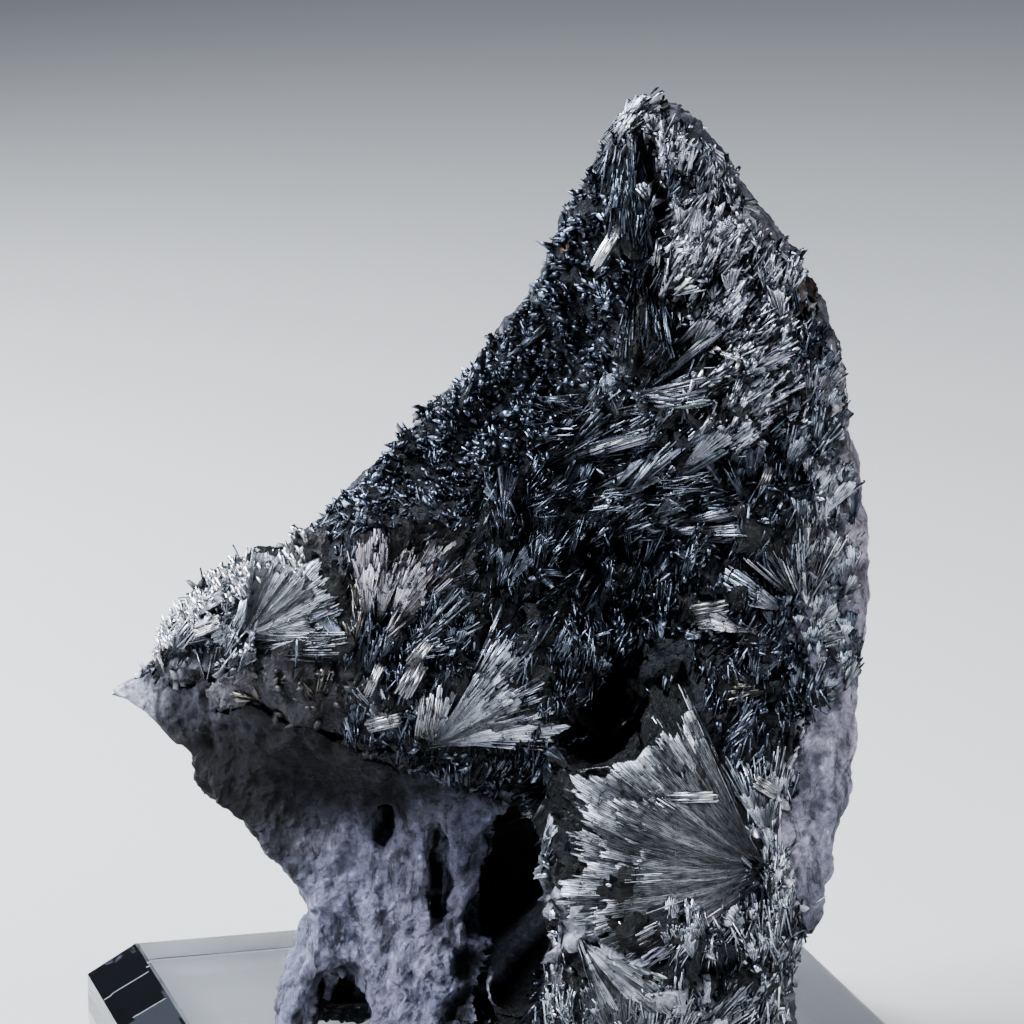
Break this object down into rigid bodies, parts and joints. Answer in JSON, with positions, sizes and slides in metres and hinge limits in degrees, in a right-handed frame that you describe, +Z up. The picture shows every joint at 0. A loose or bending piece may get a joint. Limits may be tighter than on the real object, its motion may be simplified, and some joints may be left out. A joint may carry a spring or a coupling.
{
  "type": "pyrolusite crystal cluster",
  "caption": "Sail-shaped mineral specimen of dark radiating crystal sprays with a pale crust, standing on a clear square display block.",
  "frame": {"origin": "centre of the display block's underside", "axes": "+Z up, the block is square to X and Y, and the specimen's crystal front faces -Y, turned 15.4 degrees"},
  "size_m": [0.0703, 0.07, 0.0965],
  "materials": {
    "acrylic": "clear cast acrylic, polished",
    "crust": "pale lavender-grey matt crust, pitted",
    "pyrolusite": "dark steel-grey, metallic lustre, fibrous"
  },
  "bodies": {
    "root": {"display_base": "acrylic", "rind": "crust", "crystal_mass": "pyrolusite"}
  },
  "joints": []
}
